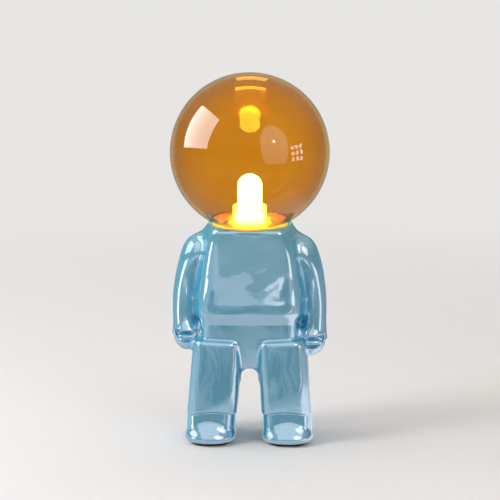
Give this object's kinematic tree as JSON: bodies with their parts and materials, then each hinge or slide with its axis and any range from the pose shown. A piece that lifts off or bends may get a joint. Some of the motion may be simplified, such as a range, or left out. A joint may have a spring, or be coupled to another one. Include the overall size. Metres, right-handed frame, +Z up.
{
  "type": "table lamp",
  "caption": "Table lamp shaped as a chunky standing spaceman of glossy blue ceramic; its head is a clear amber glass globe that screws over a plug-in capsule bulb.",
  "frame": {"origin": "on the floor under the pads, on the axis of the globe and the lamp holder", "axes": "+Z up along the globe's axis; the figure faces -Y; +X is to the right of a viewer who faces the figure"},
  "size_m": [0.12, 0.12, 0.2818],
  "materials": {
    "lustre_glaze": "mirror-gloss pearl-lustre blue glaze, deeper blue in the creases",
    "foam_pad": "matt black closed-cell foam",
    "amber_glass": "clear blown glass, amber through its thickness",
    "silicone": "translucent soft silicone",
    "sealant": "cured white sealant",
    "white_steel": "white powder coat, satin",
    "collar_plastic": "heat-proof cream plastic, satin",
    "sleeve_plastic": "translucent heat-proof plastic, glowing from inside",
    "holder_plastic": "white heat-proof plastic",
    "steatite": "unglazed white steatite",
    "contact_brass": "turned brass, satin",
    "zinc_steel": "zinc-plated steel, satin",
    "nickel_wire": "nickel-plated wire, bright",
    "frosted_shell": "frosted shell, glowing warm white",
    "board": "white coated circuit board",
    "phosphor": "yellow phosphor gel, glowing",
    "lead_brown": "brown insulation",
    "lead_blue": "blue insulation",
    "black_rubber": "moulded black rubber"
  },
  "bodies": {
    "stand": {"ceramic_body": "lustre_glaze", "left_foot_pad": "foam_pad", "right_foot_pad": "foam_pad", "neck_cushion": "silicone", "neck_plate": "white_steel", "holder_sleeve": "sleeve_plastic", "holder_cup": "holder_plastic", "holder_core": "steatite", "holder_contacts": "contact_brass", "holder_screws": "zinc_steel", "nipple": "contact_brass", "clamp_bar": "zinc_steel", "wiring_strap": "zinc_steel", "lock_washer": "zinc_steel", "lock_nut": "contact_brass", "terminal_block": "holder_plastic", "terminal_barrels": "contact_brass", "terminal_screws": "zinc_steel", "strap_screw": "zinc_steel", "live_lead": "lead_brown", "neutral_lead": "lead_blue", "cord_bush": "black_rubber"},
    "gasket": {"collar_gasket": "silicone"},
    "globe": {"glass_globe": "amber_glass", "collar_seal": "sealant", "globe_collar": "collar_plastic"},
    "bulb": {"bulb_envelope": "frosted_shell", "bulb_base": "holder_plastic", "bulb_pins": "nickel_wire", "led_board": "board", "led_chips": "phosphor"}
  },
  "joints": [
    {"name": "globe_rise", "type": "slide", "parent": "stand", "child": "gasket", "axis": [0, 0, 1], "range_m": [0, 0.009]},
    {"name": "globe_unscrew", "type": "hinge", "parent": "gasket", "child": "globe", "pos_m": [0, 0, 0.1718], "axis": [0, 0, 1], "range_deg": [0, 1080]},
    {"name": "bulb_pull", "type": "slide", "parent": "stand", "child": "bulb", "axis": [0, 0, 1], "range_m": [0, 0.012]}
  ],
  "couplings": [
    {"joint": "globe_rise", "follows": "globe_unscrew", "m_per_rad": 0.00047746}
  ]
}
